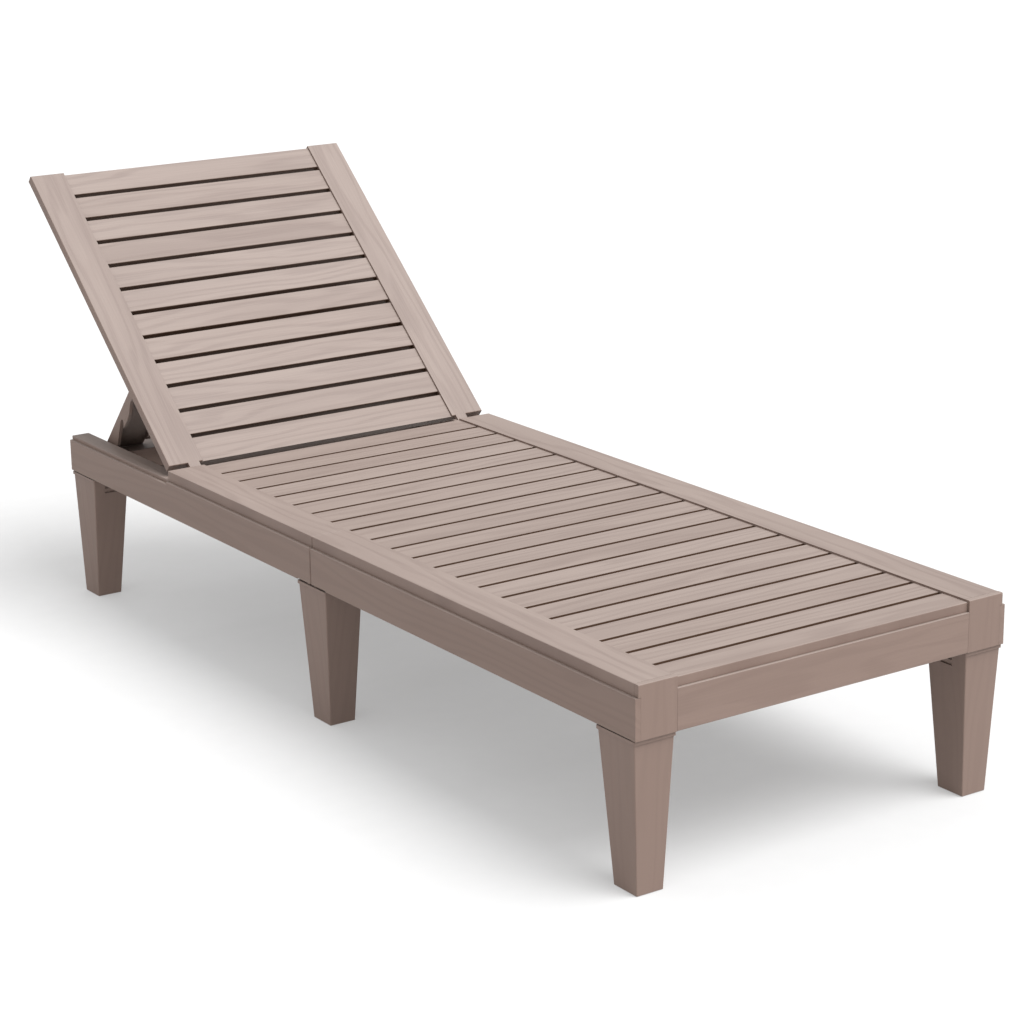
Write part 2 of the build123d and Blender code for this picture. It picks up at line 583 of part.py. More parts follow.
# ------------------------------------------------------------------------------ legs
LUG_WIDTH = 24.0
LUG_SLOT = 4.0
LUG_RECESS = 2.4
LUG_HEIGHTS = (LEG_TOP_Z - 12.0, LEG_TOP_Z - 21.0)
LUG_HEIGHT = 2.5


def leg(row, name, side):
    """Tapered hollow leg with a flange and a plug, and grip slots on its inner faces."""
    y_top, y_foot, outward = LEG_ROWS[row]
    x_top = side * LEG_X
    x_foot = side * LEG_FOOT_X
    with BuildPart() as post:
        for shrink, mode in ((0.0, Mode.ADD), (2 * WALL, Mode.SUBTRACT)):
            with BuildSketch(Plane.XY.offset(GLIDE_DROP)):
                with Locations((x_foot, y_foot)):
                    RectangleRounded(LEG_FOOT[0] - shrink, LEG_FOOT[1] - shrink, 1.6)
            with BuildSketch(Plane.XY.offset(LEG_TOP_Z)):
                with Locations((x_top, y_top)):
                    RectangleRounded(LEG_TOP[0] - shrink, LEG_TOP[1] - shrink, 2.0)
            loft(mode=mode)
        with BuildSketch(Plane.XY.offset(LEG_TOP_Z)):
            with Locations((x_top, y_top)):
                RectangleRounded(LEG_TOP[0] + 2 * LEG_FLANGE_PROUD,
                                 LEG_TOP[1] + 2 * LEG_FLANGE_PROUD, 2.0)
        extrude(amount=LEG_FLANGE)
        plug = TENON / 2
        plug_top = SOCKET_TOP[row] - TENON_DROP
        box(x_top - plug, x_top + plug, y_top - plug, y_top + plug, LEG_TOP_Z, plug_top)
        box(x_top - plug + WALL, x_top + plug - WALL, y_top - plug + WALL,
            y_top + plug - WALL, LEG_TOP_Z + LEG_FLANGE, plug_top, mode=Mode.SUBTRACT)
        if not outward:
            lug_x = x_top + side * (LEG_HALF[0] - 5.0)
            for lug_y in (y_top - 12.0, y_top + 8.0):
                box(lug_x, lug_x + side * 4.0, lug_y, lug_y + 8.0, LEG_TOP_Z + LEG_FLANGE,
                    LEG_TOP_Z + LEG_FLANGE + LUG_HEIGHT)
        for z in LUG_HEIGHTS:
            fall = (LEG_TOP_Z - z) / (LEG_TOP_Z - GLIDE_DROP)
            top_face = x_top - side * LEG_HALF[0]
            face_x = top_face + fall * (x_foot - side * LEG_FOOT[0] / 2 - top_face)
            box(face_x - side * 3.0, face_x + side * LUG_RECESS, y_top - LUG_WIDTH / 2,
                y_top + LUG_WIDTH / 2, z - LUG_SLOT / 2, z + LUG_SLOT / 2,
                mode=Mode.SUBTRACT)
            if outward:
                top_face = y_top - outward * LEG_HALF[1]
                face_y = top_face + fall * (y_foot - outward * LEG_FOOT[1] / 2 - top_face)
                box(x_top - LUG_WIDTH / 2, x_top + LUG_WIDTH / 2, face_y - outward * 3.0,
                    face_y + outward * LUG_RECESS, z - LUG_SLOT / 2, z + LUG_SLOT / 2,
                    mode=Mode.SUBTRACT)
    save(post, f"leg_{row}_{name}")
    with BuildPart() as glide:
        with BuildSketch():
            with Locations((x_foot, y_foot)):
                RectangleRounded(LEG_FOOT[0] - 2 * WALL - 0.8,
                                 LEG_FOOT[1] - 2 * WALL - 0.8, 2.5)
        extrude(amount=8.0)
        chamfer(glide.edges().group_by(Axis.Z)[0], 0.8)
    save(glide, f"leg_glide_{row}_{name}")


for row in LEG_ROWS:
    for name, side in SIDES:
        leg(row, name, side)

# --------------------------------------------------------------------------- backrest
LUG_RADIUS = BACK_ABOVE
BACK_TOP_INSET = 4.0
HINGE_PIN_SPAN = (EARS[0][0] - 1.0, EARS[1][1] + 1.0)
back_field = BACK_WIDTH - 2 * STILE
back_pitch = BACK_LENGTH / BACK_SLATS
back_end = BACK_START + BACK_LENGTH
slat_front = BACK_ABOVE - SLAT_DROP
slat_depth = slat_front + BACK_BELOW
back_normal = Axis((0, 0, 0), (0, -sin(SLOPE), cos(SLOPE)))


def back_box(x0, x1, v0, v1, w0, w1, mode=Mode.ADD):
    """Block in the backrest's own axes: across, up the backrest, out of its front."""
    with BuildSketch(BACK_PLANE.offset(min(w0, w1))) as footprint:
        with Locations(((x0 + x1) / 2, (v0 + v1) / 2)):
            Rectangle(abs(x1 - x0), abs(v1 - v0))
    extrude(footprint.sketch, amount=abs(w1 - w0), mode=mode)


front_plane = BACK_PLANE.offset(slat_front)
into_back = Plane(origin=front_plane.origin, x_dir=(-1, 0, 0), z_dir=-front_plane.z_dir)
with BuildPart() as backrest:
    back_box(-BACK_WIDTH / 2, BACK_WIDTH / 2, BACK_START, back_end, -BACK_BELOW, BACK_ABOVE)
    fillet(backrest.faces().sort_by(back_normal)[-1].edges(), ROUND)
    back_box(-back_field / 2, back_field / 2, BACK_START, back_end, slat_front, BACK_ABOVE,
             mode=Mode.SUBTRACT)
    back_box(-back_field / 2, back_field / 2, back_end - BACK_TOP_INSET, back_end,
             -BACK_BELOW, BACK_ABOVE, mode=Mode.SUBTRACT)
    centre = BACK_START + BACK_LENGTH / 2
    slots(into_back, back_field, slat_depth, centre, back_pitch, BACK_SLATS - 1)
    pockets(BACK_PLANE.offset(-BACK_BELOW), back_field, slat_depth - SKIN, centre,
            back_pitch, BACK_SLATS)
    for _, side in SIDES:
        back_box(side * (back_field / 2 + WALL), side * (BACK_WIDTH / 2 - WALL),
                 BACK_START + 12.0, back_end - WALL, -BACK_BELOW, BACK_ABOVE - SKIN,
                 mode=Mode.SUBTRACT)
        rod(side * LUG[0], side * LUG[1], HINGE_Y, HINGE_Z, LUG_RADIUS)
        back_box(side * LUG[0], side * LUG[1], 0.0, BACK_START + 1.0, 0.0, BACK_ABOVE)
        rod(side * LUG[0], side * LUG[1], HINGE_Y, HINGE_Z, HINGE_PIN_RADIUS + RUN,
            mode=Mode.SUBTRACT)
save(backrest, "backrest_panel")

for name, side in SIDES:
    with BuildPart() as hinge_pin:
        rod(side * HINGE_PIN_SPAN[0], side * HINGE_PIN_SPAN[1], HINGE_Y, HINGE_Z,
            HINGE_PIN_RADIUS)
        chamfer(hinge_pin.edges().filter_by(GeomType.CIRCLE), 0.6)
    save(hinge_pin, f"hinge_pin_{name}")

# --------------------------------------------------------- prop brackets and pivots
BRACKET_INNER = 240.0
BRACKET_EAR = (274.0, 282.0)
BOSS = 8.0
PIN_HEAD_RADIUS = 6.5
BRACKET_SPAN = (PROP_PIVOT_ALONG - 28.0, PROP_PIVOT_ALONG + 28.0)
for name, side in SIDES:
    with BuildPart() as bracket:
        back_box(side * BRACKET_INNER, side * BRACKET_EAR[1], *BRACKET_SPAN,
                 -BACK_BELOW - WALL, -BACK_BELOW)
        rod(side * BRACKET_EAR[0], side * BRACKET_EAR[1], PIVOT_Y, PIVOT_Z, BOSS)
        back_box(side * BRACKET_EAR[0], side * BRACKET_EAR[1], PROP_PIVOT_ALONG - BOSS,
                 PROP_PIVOT_ALONG + BOSS, -PROP_PIVOT_BELOW, -BACK_BELOW)
        rod(side * BRACKET_EAR[0], side * BRACKET_EAR[1], PIVOT_Y, PIVOT_Z, PIN_RADIUS,
            mode=Mode.SUBTRACT)
    save(bracket, f"prop_bracket_{name}")

    with BuildPart() as pivot_pin:
        rod(side * (BRACKET_EAR[0] - 2.0), side * (ARM_OUTER + 0.3), PIVOT_Y, PIVOT_Z,
            PIN_RADIUS)
        rod(side * (ARM_OUTER + 0.3), side * (ARM_OUTER + 2.0), PIVOT_Y, PIVOT_Z,
            PIN_HEAD_RADIUS)
    save(pivot_pin, f"prop_pin_{name}")

# ------------------------------------------------------------------------------- prop
DIP = radians(PROP_ANGLE)


TOE_DROP = PIVOT_Z - PLATFORM_TOP - TOE_CLEARANCE


def arm_point(u, w):
    """Y and Z of a point u down the prop from its pivot and w out of its front."""
    return (PIVOT_Y + u * cos(DIP) - w * sin(DIP), PIVOT_Z - u * sin(DIP) - w * cos(DIP))


def level_end(w):
    """How far down the prop its level foot lies at w."""
    return (TOE_DROP - w * cos(DIP)) / sin(DIP)


def prop_plate(x0, x1, outline):
    """Plate square to X with an outline given in the prop's own axes."""
    with BuildSketch(side_plane(min(x0, x1))) as plate:
        with BuildLine():
            Polyline(*[arm_point(u, w) for u, w in outline], close=True)
        make_face()
    extrude(plate.sketch, amount=abs(x1 - x0))


WEB_START = 36.0
PANEL_START = 42.0
PANEL_END = 185.0
PROP_RIB = 8.0
web_front = -PROP_BACK + WALL
arm_inner = ARM_OUTER - ARM_WEB
# side flange: straight rear edge, level foot, hook with a downward tip on the front edge
FLANGE_OUTLINE = (
    (0.0, -PROP_BACK),
    (level_end(-PROP_BACK), -PROP_BACK),
    (level_end(PROP_FRONT), PROP_FRONT),
    (160.0, PROP_FRONT),
    (118.0, 1.5),
    (108.5, -1.0),
    (104.0, 3.0),
    (106.0, 8.0),
    (114.0, 14.5),
    (91.0, 15.0),
    (74.0, 12.5),
    (59.0, 5.5),
    (50.0, 3.0),
    (0.0, 8.0),
)
for name, side in SIDES:
    with BuildPart() as arm:
        prop_plate(side * (ARM_OUTER - ARM_FLANGE), side * ARM_OUTER, FLANGE_OUTLINE)
        rod(side * (ARM_OUTER - ARM_FLANGE), side * ARM_OUTER, PIVOT_Y, PIVOT_Z, BOSS)
        prop_plate(side * arm_inner, side * ARM_OUTER, (
            (WEB_START, -PROP_BACK), (level_end(-PROP_BACK), -PROP_BACK),
            (level_end(web_front), web_front), (WEB_START, web_front)))
        prop_plate(side * arm_inner, side * (arm_inner + WALL), (
            (WEB_START, -PROP_BACK), (PANEL_END + 12.0, -PROP_BACK),
            (PANEL_END, web_front + PROP_RIB), (WEB_START, web_front + PROP_RIB)))
        rod(side * (ARM_OUTER - ARM_FLANGE), side * ARM_OUTER, PIVOT_Y, PIVOT_Z,
            PIN_RADIUS + RUN, mode=Mode.SUBTRACT)
        for u in (62.0, 160.0):
            y, z = arm_point(u, web_front + PROP_RIB / 2)
            rod(side * arm_inner, side * (arm_inner + WALL), y, z, DECK_SCREW_RADIUS,
                mode=Mode.SUBTRACT)
    save(arm, f"prop_arm_{name}")

panel_half = arm_inner - FIT
with BuildPart() as panel:
    prop_plate(-panel_half, panel_half, (
        (PANEL_START, -PROP_BACK), (PANEL_END, -PROP_BACK),
        (PANEL_END, web_front), (PANEL_START, web_front)))
    for x in (-panel_half, -panel_half / 2, -WALL / 2, panel_half / 2 - WALL,
              panel_half - WALL):
        prop_plate(x, x + WALL, (
            (PANEL_START, -PROP_BACK), (PANEL_END, -PROP_BACK),
            (PANEL_END, web_front + PROP_RIB), (PANEL_START, web_front + PROP_RIB)))
    for _, side in SIDES:
        for u in (62.0, 160.0):
            y, z = arm_point(u, web_front + PROP_RIB / 2)
            rod(side * (panel_half - WALL), side * panel_half, y, z, DECK_SCREW_RADIUS,
                mode=Mode.SUBTRACT)
save(panel, "prop_panel")

PROP_SCREW_HEAD_RADIUS = 3.6
with BuildPart() as prop_screws:
    for _, side in SIDES:
        for u in (62.0, 160.0):
            y, z = arm_point(u, web_front + PROP_RIB / 2)
            rod(side * (arm_inner + WALL), side * (panel_half - WALL), y, z,
                DECK_SCREW_RADIUS)
            rod(side * (arm_inner + WALL), side * (arm_inner + WALL + SCREW_HEAD), y, z,
                PROP_SCREW_HEAD_RADIUS)
save(prop_screws, "prop_screws")
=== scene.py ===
import json
import math

import bpy
from mathutils import Euler, Matrix, Vector


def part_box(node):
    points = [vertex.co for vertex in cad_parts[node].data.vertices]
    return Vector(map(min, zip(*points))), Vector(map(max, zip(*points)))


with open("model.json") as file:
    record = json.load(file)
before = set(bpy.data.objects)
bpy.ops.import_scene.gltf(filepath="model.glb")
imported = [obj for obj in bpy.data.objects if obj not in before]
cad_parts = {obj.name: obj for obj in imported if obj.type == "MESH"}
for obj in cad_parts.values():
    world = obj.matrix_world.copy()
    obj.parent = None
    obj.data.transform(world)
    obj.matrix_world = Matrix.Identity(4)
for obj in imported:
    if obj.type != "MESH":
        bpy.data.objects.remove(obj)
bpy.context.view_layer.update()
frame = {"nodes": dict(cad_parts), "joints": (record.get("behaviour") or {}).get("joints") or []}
nodes = frame["nodes"]

# ------------------------------------------------------------------ reference positions
FOOT_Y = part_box("foot_end_board")[0].y
DECK_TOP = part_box("seat_deck_foot")[1].z
SEAT_END_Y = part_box("cross_beam_hinge")[1].y + 0.005
HINGE = Vector(frame["joints"][0]["pos_m"])
SEAT_SLATS = 22
BACK_SLATS = 12
SLAT_PITCH = (SEAT_END_Y - FOOT_Y) / SEAT_SLATS
BACK_ANGLE = math.radians(41.5)
BACK_LENGTH = 0.6555
BACK_PITCH = BACK_LENGTH / BACK_SLATS
BACK_START = 0.0098  # lower end of the backrest, measured from the hinge up its slope
BACK_END = BACK_START + BACK_LENGTH
BACK_ABOVE = 0.008  # front of the backrest's stiles above the hinge line
FIELD_HALF = 0.264  # half of the width of the deck between its stiles
BACK_FIELD_HALF = 0.256
SLOT_HALF = 0.004
SLAT_DROP = 0.003  # top of the slats below the top of the stiles
NO_SLOT = 0.02  # the ends of a slatted board have no slot within this distance

# -------------------------------------------------------------------------- node helpers


class Graph:
    """A short way to build one material's nodes."""

    def __init__(self, name):
        self.material = bpy.data.materials.new(name)
        self.material.use_nodes = True
        self.tree = self.material.node_tree
        self.tree.nodes.clear()
        self.output = self.tree.nodes.new("ShaderNodeOutputMaterial")
        self.shader = self.tree.nodes.new("ShaderNodeBsdfPrincipled")
        self.tree.links.new(self.shader.outputs[0], self.output.inputs["Surface"])

    def new(self, kind, **values):
        node = self.tree.nodes.new(kind)
        for key, value in values.items():
            setattr(node, key, value)
        return node

    def put(self, source, target):
        if isinstance(source, (int, float, tuple, list)):
            target.default_value = source
        else:
            self.tree.links.new(source, target)

    def math(self, operation, a, b=None):
        node = self.new("ShaderNodeMath", operation=operation)
        for source, target in zip((a, b), node.inputs):
            if source is not None:
                self.put(source, target)
        return node.outputs[0]

    def remap(self, value, low, high, to_low=0.0, to_high=1.0, smooth=True):
        node = self.new("ShaderNodeMapRange")
        node.interpolation_type = "SMOOTHSTEP" if smooth else "LINEAR"
        for source, target in zip((value, low, high, to_low, to_high), node.inputs):
            self.put(source, target)
        return node.outputs[0]

    def vector(self, x, y, z):
        node = self.new("ShaderNodeCombineXYZ")
        for source, target in zip((x, y, z), node.inputs):
            self.put(source, target)
        return node.outputs[0]

    def noise(self, vector, scale, detail=3.0, roughness=0.5):
        node = self.new("ShaderNodeTexNoise")
        self.put(vector, node.inputs["Vector"])
        node.inputs["Scale"].default_value = scale
        node.inputs["Detail"].default_value = detail
        node.inputs["Roughness"].default_value = roughness
        return node.outputs[0]

    def random(self, value):
        node = self.new("ShaderNodeTexWhiteNoise", noise_dimensions="1D")
        self.put(value, node.inputs["W"])
        return node.outputs["Value"]

    def mix(self, factor, a, b, blend="MIX"):
        node = self.new("ShaderNodeMix", data_type="RGBA", blend_type=blend)
        self.put(factor, node.inputs[0])
        self.put(a, node.inputs[6])
        self.put(b, node.inputs[7])
        return node.outputs[2]

    def bump(self, height, distance):
        node = self.new("ShaderNodeBump")
        node.inputs["Strength"].default_value = 1.0
        node.inputs["Distance"].default_value = distance
        self.put(height, node.inputs["Height"])
        return node.outputs[0]


def srgb(code):
    """Linear colour of a #rrggbb code, with alpha."""
    channels = [int(code[i:i + 2], 16) / 255 for i in (1, 3, 5)]
    linear = [c / 12.92 if c <= 0.04045 else ((c + 0.055) / 1.055) ** 2.4 for c in channels]
    return (*linear, 1.0)


# ------------------------------------------------------------------- moulded resin grain
RESIN = srgb("#82746d")
RESIN_DARK = srgb("#6c5d57")
RESIN_LIGHT = srgb("#92857e")
# Painted side shade: faces that look sideways are made darker and warmer than the tops, as light
# falls on them
PAINTED_SIDE_SHADE = (0.97, 0.87, 0.82, 1.0)
# Painted shade: the dark colour put on the walls of the slots between the slats
PAINTED_SLOT_SHADE = srgb("#4a3426")
SPECULAR = 0.35
BUMP_UNIT = 0.001  # metres of height that a bump of 1 stands for
# Noise units per metre, along and across a board
WARP_SCALE = (1.1, 9.0)
STREAK_SCALE = (9.0, 420.0)
BROAD_SCALE = (2.0, 14.0)
RING_WARP = 9.0
RINGS_ACROSS = 60.0
RING_RATE = 4.4
SEED_SPREAD = 37.0
# Numbers that give each board its own grain; the seat's slats count from 0
BACK_BOARDS = 30.0
SEAT_STILES = 60.0
BACK_STILES = 70.0
RAIL_BOARDS = 90.0
CROSS_BOARD = 120.5
PROP_BOARDS = 150.0


def grain_pattern(g, along, across, depth, board):
    """Fine moulded wood grain: streaks along the board and cathedral rings on it.

    along and across are in metres on the board, depth sets one board apart from another.
    Returns (rings, streaks, broad), each from 0 to 1.
    """
    seed = g.math("MULTIPLY", g.random(board), SEED_SPREAD)
    layer = g.math("ADD", depth, seed)

    def stretched(scale, third):
        return g.vector(g.math("MULTIPLY", along, scale[0]),
                        g.math("MULTIPLY", across, scale[1]), third)

    warp = g.noise(stretched(WARP_SCALE, layer), 1.6, 2.0, 0.5)
    field = g.math("ADD", g.math("MULTIPLY", warp, RING_WARP),
                   g.math("MULTIPLY", across, RINGS_ACROSS))
    rings = g.remap(g.math("SINE", g.math("MULTIPLY", field, RING_RATE)), -0.2, 1.0)
    streaks = g.noise(stretched(STREAK_SCALE, layer), 1.0, 4.0, 0.6)
    broad = g.noise(stretched(BROAD_SCALE, seed), 1.0, 3.0, 0.5)
    return rings, streaks, broad


def upward(g):
    """1 on the faces that look up or down; the sides get a painted shade, darker and warmer than
    these.
    """
    texture = g.new("ShaderNodeTexCoord")
    split = g.new("ShaderNodeSeparateXYZ")
    g.put(texture.outputs["Normal"], split.inputs[0])
    return g.remap(g.math("ABSOLUTE", split.outputs[2]), 0.2, 0.8)


def resin(name, coordinates, ring_bump=0.00022, streak_bump=0.00006, contrast=1.0):
    """Matt taupe resin whose grain runs as coordinates(g) says.

    A slatted board's coordinates end with a mask of its slots, on whose walls shade is painted.
    The bumps are in metres, and contrast scales the grain's colours.
    """
    g = Graph(name)
    along, across, depth, board, *slot_shade = coordinates(g)
    rings, streaks, broad = grain_pattern(g, along, across, depth, board)
    tone = g.mix(g.math("MULTIPLY", rings, 0.30 * contrast), RESIN, RESIN_DARK)
    tone = g.mix(g.remap(streaks, 0.30, 0.72, 0.0, 0.34 * contrast), tone, RESIN_LIGHT)
    tone = g.mix(g.remap(broad, 0.35, 0.70, 0.0, 0.22 * contrast), tone, RESIN_DARK)
    # painted shade by facing: the sides darker and warmer than the tops and undersides
    side_shade = g.mix(upward(g), PAINTED_SIDE_SHADE, (1.0, 1.0, 1.0, 1.0))
    tone = g.mix(1.0, tone, side_shade, "MULTIPLY")
    shade = g.remap(g.random(g.math("ADD", board, 11.3)), 0.0, 1.0, -0.004, 0.006, smooth=False)
    bright = g.new("ShaderNodeBrightContrast")
    g.put(tone, bright.inputs["Color"])
    g.put(shade, bright.inputs["Bright"])
    colour = bright.outputs[0]
    # painted shade on the walls of the slots
    if slot_shade:
        colour = g.mix(slot_shade[0], colour, PAINTED_SLOT_SHADE)
    g.put(colour, g.shader.inputs["Base Color"])
    g.put(g.remap(streaks, 0.3, 0.7, 0.50, 0.62), g.shader.inputs["Roughness"])
    g.shader.inputs["Specular IOR Level"].default_value = SPECULAR
    height = g.math("ADD", g.math("MULTIPLY", rings, ring_bump / BUMP_UNIT),
                    g.math("MULTIPLY", streaks, streak_bump / BUMP_UNIT))
    g.put(g.bump(height, BUMP_UNIT), g.shader.inputs["Normal"])
    return g.material


def position(g):
    """Object coordinates, which are the row frame's for every piece at rest."""
    texture = g.new("ShaderNodeTexCoord")
    split = g.new("ShaderNodeSeparateXYZ")
    g.put(texture.outputs["Object"], split.inputs[0])
    return split.outputs[0], split.outputs[1], split.outputs[2]


def choose(g, factor, a, b):
    """a where factor is 0 and b where it is 1."""
    node = g.new("ShaderNodeMix", data_type="FLOAT")
    g.put(factor, node.inputs[0])
    g.put(a, node.inputs[2])
    g.put(b, node.inputs[3])
    return node.outputs[0]


def painted_slot_shade_mask(g, x, slats, pitch, below_slats, half_field):
    """1 on the walls of the slots, where shade is painted.

    slats counts the slats from the first one, and below_slats is the depth under their top.
    """
    to_slot = g.math("MULTIPLY", g.math("PINGPONG", slats, 0.5), pitch)
    near = g.math("LESS_THAN", to_slot, SLOT_HALF + 0.0012)
    inside = g.math("LESS_THAN", g.math("ABSOLUTE", x), half_field + 0.0002)
    deep = g.remap(below_slats, 0.0001, 0.0008)
    return g.math("MULTIPLY", g.math("MULTIPLY", near, inside), deep)


def deck_coordinates(g):
    """Slats run across, stiles run along the deck."""
    x, y, z = position(g)
    on_stile = g.math("GREATER_THAN", g.math("ABSOLUTE", x), FIELD_HALF)
    slats = g.math("DIVIDE", g.math("SUBTRACT", y, FOOT_Y), SLAT_PITCH)
    slat = g.math("FLOOR", slats)
    slot_shade = painted_slot_shade_mask(g, x, slats, SLAT_PITCH,
                     g.math("SUBTRACT", DECK_TOP - SLAT_DROP, z), FIELD_HALF)
    slot_shade = g.math("MULTIPLY", slot_shade, g.math("GREATER_THAN", y, FOOT_Y + NO_SLOT))
    stile = g.math("ADD", g.math("SIGN", x), SEAT_STILES)
    return (choose(g, on_stile, x, y), choose(g, on_stile, y, x), z,
            choose(g, on_stile, slat, stile), slot_shade)


def back_coordinates(g):
    """The same on the backrest, measured up its own slope."""
    x, y, z = position(g)
    up = g.math("ADD",
                g.math("MULTIPLY", g.math("SUBTRACT", y, HINGE.y), math.cos(BACK_ANGLE)),
                g.math("MULTIPLY", g.math("SUBTRACT", z, HINGE.z), math.sin(BACK_ANGLE)))
    out = g.math("SUBTRACT",
                 g.math("MULTIPLY", g.math("SUBTRACT", z, HINGE.z), math.cos(BACK_ANGLE)),
                 g.math("MULTIPLY", g.math("SUBTRACT", y, HINGE.y), math.sin(BACK_ANGLE)))
    on_stile = g.math("GREATER_THAN", g.math("ABSOLUTE", x), BACK_FIELD_HALF)
    slats = g.math("DIVIDE", g.math("SUBTRACT", up, BACK_START), BACK_PITCH)
    slat = g.math("ADD", g.math("FLOOR", slats), BACK_BOARDS)
    slot_shade = painted_slot_shade_mask(g, x, slats, BACK_PITCH,
                     g.math("SUBTRACT", BACK_ABOVE - SLAT_DROP, out), BACK_FIELD_HALF)
    slot_shade = g.math("MULTIPLY", slot_shade, g.math("GREATER_THAN", up, BACK_START + NO_SLOT))
    slot_shade = g.math("MULTIPLY", slot_shade, g.math("LESS_THAN", up, BACK_END - NO_SLOT))
    stile = g.math("ADD", g.math("SIGN", x), BACK_STILES)
    return (choose(g, on_stile, x, up), choose(g, on_stile, up, x), out,
            choose(g, on_stile, slat, stile), slot_shade)


def rail_coordinates(g):
    """Side rails: the grain runs along the lounger."""
    x, y, z = position(g)
    across = g.math("ADD", z, g.math("MULTIPLY", x, 0.8))
    return y, across, x, g.math("ADD", g.math("SIGN", x), RAIL_BOARDS)


def cross_coordinates(g):
    """End boards and beams: the grain runs across the lounger."""
    x, y, z = position(g)
    return x, g.math("ADD", z, g.math("MULTIPLY", y, 0.8)), y, CROSS_BOARD


def leg_coordinates(g):
    """Legs: the grain runs down the leg."""
    x, y, z = position(g)
    around = g.math("ADD", x, y)
    board = g.math("ADD", g.math("SIGN", x), g.math("ROUND", g.math("MULTIPLY", y, 2.0)))
    return z, around, g.math("SUBTRACT", x, y), board


def prop_coordinates(g):
    """Prop: the grain runs down its slope."""
    x, y, z = position(g)
    return g.math("SUBTRACT", z, y), x, y, g.math("ADD", g.math("SIGN", x), PROP_BOARDS)


def plain_resin(name, colour):
    """Unfigured resin of the hidden mouldings, with a sand-blasted texture."""
    g = Graph(name)
    texture = g.new("ShaderNodeTexCoord")
    mottle = g.noise(texture.outputs["Object"], 14.0, 3.0)
    grit = g.noise(texture.outputs["Object"], 900.0, 2.0)
    g.put(g.mix(g.remap(mottle, 0.3, 0.7, 0.0, 0.25), colour, RESIN_DARK),
          g.shader.inputs["Base Color"])
    g.put(g.remap(grit, 0.3, 0.7, 0.52, 0.66), g.shader.inputs["Roughness"])
    g.shader.inputs["Specular IOR Level"].default_value = SPECULAR
    g.put(g.bump(grit, 0.0001), g.shader.inputs["Normal"])
    return g.material


def zinc():
    """Zinc-plated steel of the pins and fasteners."""
    g = Graph("zinc_plated")
    texture = g.new("ShaderNodeTexCoord")
    spangle = g.new("ShaderNodeTexVoronoi")
    g.put(texture.outputs["Object"], spangle.inputs["Vector"])
    spangle.inputs["Scale"].default_value = 900.0
    blotch = g.noise(texture.outputs["Object"], 60.0, 4.0)
    g.put(g.mix(g.remap(blotch, 0.3, 0.7), srgb("#9b9a96"), srgb("#bdbcb8")),
          g.shader.inputs["Base Color"])
    g.shader.inputs["Metallic"].default_value = 1.0
    g.put(g.remap(spangle.outputs["Distance"], 0.0, 0.6, 0.32, 0.48),
          g.shader.inputs["Roughness"])
    g.put(g.bump(blotch, 0.00005), g.shader.inputs["Normal"])
    return g.material


def rubber():
    """Dark matt rubber of the glides."""
    g = Graph("glide_rubber")
    texture = g.new("ShaderNodeTexCoord")
    grit = g.noise(texture.outputs["Object"], 600.0, 3.0)
    g.put(g.mix(g.remap(grit, 0.3, 0.7), srgb("#2b241f"), srgb("#3c332d")),
          g.shader.inputs["Base Color"])
    g.put(g.remap(grit, 0.3, 0.7, 0.7, 0.85), g.shader.inputs["Roughness"])
    g.put(g.bump(grit, 0.0002), g.shader.inputs["Normal"])
    return g.material


deck_grain = resin("resin_deck", deck_coordinates, contrast=1.2)
back_grain = resin("resin_backrest", back_coordinates, contrast=1.5)
rail_grain = resin("resin_side_rail", rail_coordinates, 0.00008, contrast=0.6)
cross_grain = resin("resin_end_board", cross_coordinates, 0.0001, contrast=0.6)
leg_grain = resin("resin_leg", leg_coordinates, 0.00004, contrast=0.35)
prop_grain = resin("resin_prop", prop_coordinates, 0.00006, contrast=0.4)
structure = plain_resin("resin_structure", srgb("#5f524b"))
steel = zinc()
pad = rubber()

# The first start of a node's name that matches gives its finish
FINISHES = (
    ("seat_deck", deck_grain),
    ("backrest_panel", back_grain),
    ("side_rail", rail_grain),
    ("foot_end_board", cross_grain),
    ("foot_corner_cap", leg_grain),
    ("head_end_rail", cross_grain),
    ("head_platform", cross_grain),
    ("prop_rack", structure),
    ("cross_beam", structure),
    ("leg_glide", pad),
    ("leg_", leg_grain),
    ("prop_arm", prop_grain),
    ("prop_panel", prop_grain),
    ("prop_bracket", structure),
    ("prop_pin", steel),
    ("hinge_pin", steel),
    ("platform_screws", steel),
    ("prop_screws", steel),
    ("deck_screws", steel),
    ("seam_", steel),
)


def finish_of(name):
    for start, material in FINISHES:
        if name.startswith(start):
            return material
    raise ValueError(f"no finish for {name}")


for name, node in nodes.items():
    node.data.materials.clear()
    node.data.materials.append(finish_of(name))

# --------------------------------------------------------------- camera, light and floor
FOCAL = 94.79
# from the middle of the foot end, on the floor
CAMERA_FROM_FOOT = Vector((-2.3382, -2.6538, 1.5201))
AZIMUTH = math.radians(-34.329)
ELEVATION = math.radians(16.30)
ROLL = math.radians(-0.742)

camera_data = bpy.data.cameras.new("camera")
camera_data.lens = FOCAL
camera_data.sensor_width = 36.0
camera_data.clip_start = 0.05
camera_data.clip_end = 60.0
camera = bpy.data.objects.new("camera", camera_data)
bpy.context.scene.collection.objects.link(camera)
camera.location = CAMERA_FROM_FOOT + Vector((0, FOOT_Y, 0))
level_aim = Euler((math.pi / 2 - ELEVATION, 0.0, AZIMUTH), "XYZ").to_matrix()
camera.rotation_euler = (level_aim @ Matrix.Rotation(ROLL, 3, "Z")).to_euler()
bpy.context.scene.camera = camera

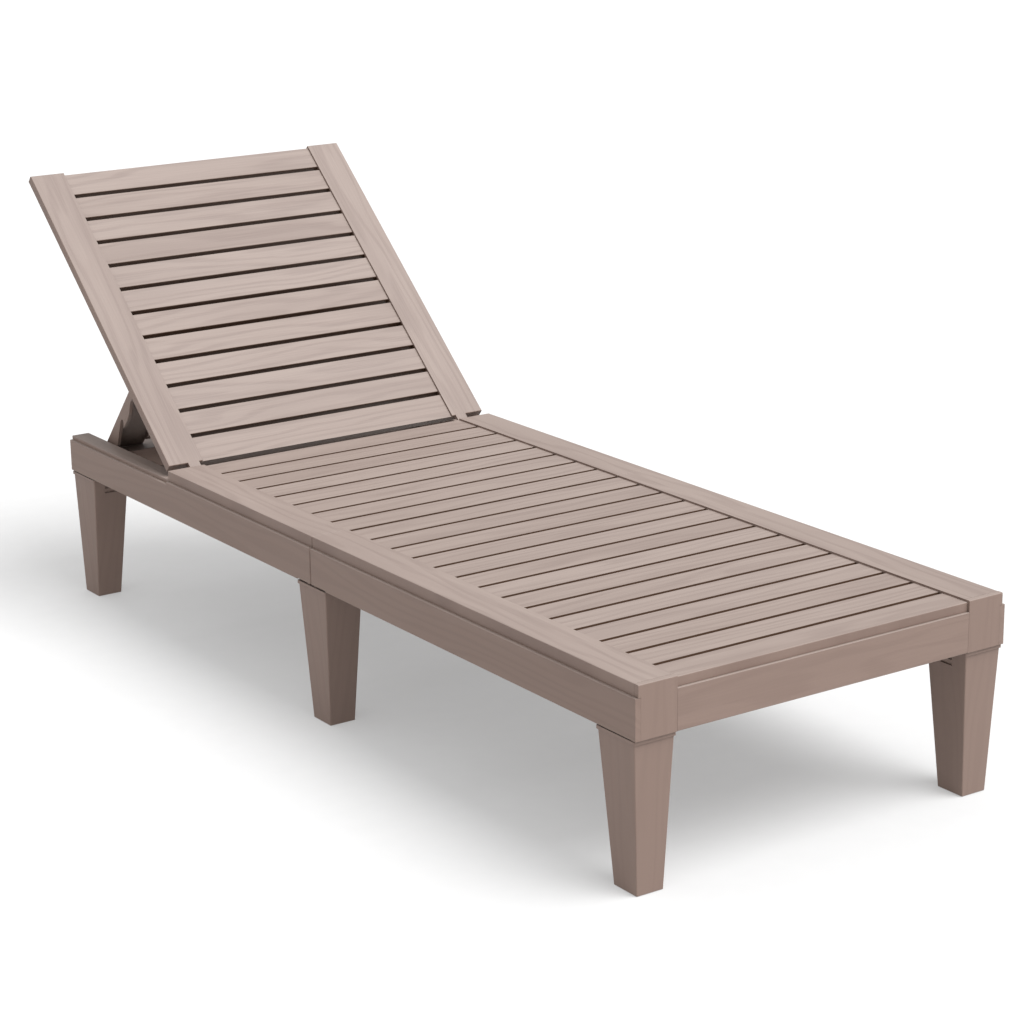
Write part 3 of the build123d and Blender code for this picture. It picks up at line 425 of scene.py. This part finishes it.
FLOOR_SIZE = 60.0
FLOOR_Y = 12.0
FLOOR_TONES = ((0.36, 0.36, 0.36, 1), (0.38, 0.38, 0.38, 1))
FLOOR_GLOW = 0.335  # keeps the lit floor white and the shadow on it soft
bpy.ops.mesh.primitive_plane_add(size=FLOOR_SIZE, location=(0, FLOOR_Y, 0))
floor = bpy.context.object
floor.name = "floor"
floor_graph = Graph("floor_paper")
floor_texture = floor_graph.new("ShaderNodeTexCoord")
speckle = floor_graph.noise(floor_texture.outputs["Object"], 30.0, 2.0)
floor_graph.put(floor_graph.mix(speckle, *FLOOR_TONES), floor_graph.shader.inputs["Base Color"])
floor_graph.shader.inputs["Roughness"].default_value = 0.95
floor_graph.shader.inputs["Specular IOR Level"].default_value = 0.0
floor_graph.shader.inputs["Emission Color"].default_value = (1.0, 1.0, 1.0, 1.0)
floor_graph.shader.inputs["Emission Strength"].default_value = FLOOR_GLOW
floor.data.materials.append(floor_graph.material)

# A white studio dome, brighter overhead than low down
DOME_RAMP = (0.0, 0.9, 0.40, 1.15)  # from and to this height, from and to this strength
world = bpy.data.worlds.new("studio")
world.use_nodes = True
bpy.context.scene.world = world
dome = world.node_tree
background = dome.nodes["Background"]
direction = dome.nodes.new("ShaderNodeTexCoord")
axes = dome.nodes.new("ShaderNodeSeparateXYZ")
dome.links.new(direction.outputs["Generated"], axes.inputs[0])
height = dome.nodes.new("ShaderNodeMapRange")
height.interpolation_type = "SMOOTHSTEP"
for value, socket in zip(DOME_RAMP, list(height.inputs)[1:5]):
    socket.default_value = value
dome.links.new(axes.outputs["Z"], height.inputs[0])
background.inputs["Color"].default_value = (1.0, 1.0, 1.0, 1.0)
dome.links.new(height.outputs[0], background.inputs["Strength"])

KEY_STRENGTH = 4.0
KEY_ANGLE = math.radians(44.0)
KEY_DIRECTION = Vector((-0.32, 0.48, -1.0))
sun_data = bpy.data.lights.new("broad_key", "SUN")
sun_data.energy = KEY_STRENGTH
sun_data.angle = KEY_ANGLE
sun = bpy.data.objects.new("broad_key", sun_data)
bpy.context.scene.collection.objects.link(sun)
sun.rotation_euler = KEY_DIRECTION.to_track_quat("-Z", "Y").to_euler()

view = bpy.context.scene.view_settings
view.view_transform = "Standard"
view.look = "None"
view.exposure = 0.0
